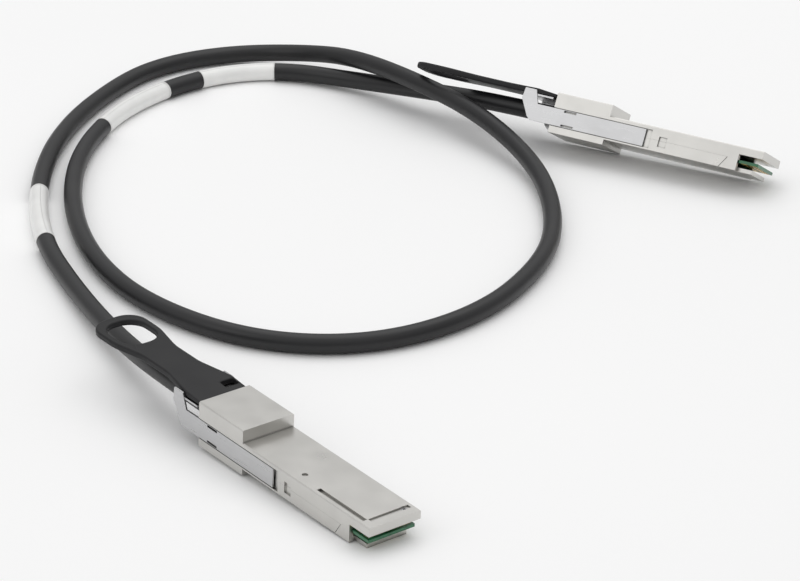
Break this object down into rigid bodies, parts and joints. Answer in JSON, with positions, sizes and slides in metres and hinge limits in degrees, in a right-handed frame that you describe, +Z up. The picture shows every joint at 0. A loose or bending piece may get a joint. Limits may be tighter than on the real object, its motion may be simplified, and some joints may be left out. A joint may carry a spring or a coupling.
{
  "type": "direct attach copper cable",
  "caption": "Copper data cable in a loose coil with a latching pluggable metal connector and pull tab at each end.",
  "frame": {"origin": "middle of the footprint of both connectors, on the surface that they lie on", "axes": "+Z up, +Y along the long side of the footprint, away from the near connector's nose"},
  "size_m": [0.2573, 0.3843, 0.0233],
  "materials": {
    "nickel_plated_zinc": "satin nickel plate on die-cast zinc",
    "stainless_sheet": "satin stainless sheet",
    "black_tab_rubber": "satin moulded elastomer",
    "circuit_board": "green solder mask",
    "gold_plating": "polished gold plate",
    "chip_resin": "matt black resin",
    "wire_insulation": "foil-wrapped wire pairs",
    "clamp_resin": "matt moulded resin",
    "crimp_brass": "tin-plated brass",
    "spring_wire": "drawn spring steel",
    "screw_steel": "zinc-plated steel",
    "cable_jacket": "satin black jacket",
    "label_film": "white self-laminating film"
  },
  "bodies": {
    "cable_and_shells": {"near_upper_shell": "nickel_plated_zinc", "near_lower_shell": "nickel_plated_zinc", "near_paddle_card": "circuit_board", "near_contact_pads": "gold_plating", "near_memory_chip": "chip_resin", "near_wire_pairs": "wire_insulation", "near_wire_clamp": "clamp_resin", "near_crimp_ring": "crimp_brass", "near_return_springs": "spring_wire", "near_cover_screw": "screw_steel", "far_upper_shell": "nickel_plated_zinc", "far_lower_shell": "nickel_plated_zinc", "far_paddle_card": "circuit_board", "far_contact_pads": "gold_plating", "far_memory_chip": "chip_resin", "far_wire_pairs": "wire_insulation", "far_wire_clamp": "clamp_resin", "far_crimp_ring": "crimp_brass", "far_return_springs": "spring_wire", "far_cover_screw": "screw_steel", "cable": "cable_jacket", "side_label": "label_film", "corner_label": "label_film", "top_label": "label_film"},
    "near_latch": {"near_latch_slider": "stainless_sheet", "near_pull_tab": "black_tab_rubber"},
    "far_latch": {"far_latch_slider": "stainless_sheet", "far_pull_tab": "black_tab_rubber"}
  },
  "joints": [
    {"name": "near_pull", "type": "slide", "parent": "cable_and_shells", "child": "near_latch", "axis": [-0.6313, 0.7741, 0.048], "range_m": [0, 0.0025], "stiffness_N_per_m": 800, "springref_m": -0.003, "deforming": ["near_return_springs"]},
    {"name": "far_pull", "type": "slide", "parent": "cable_and_shells", "child": "far_latch", "axis": [-0.8818, 0.4709, 0.0253], "range_m": [0, 0.0025], "stiffness_N_per_m": 800, "springref_m": -0.003, "deforming": ["far_return_springs"]}
  ]
}
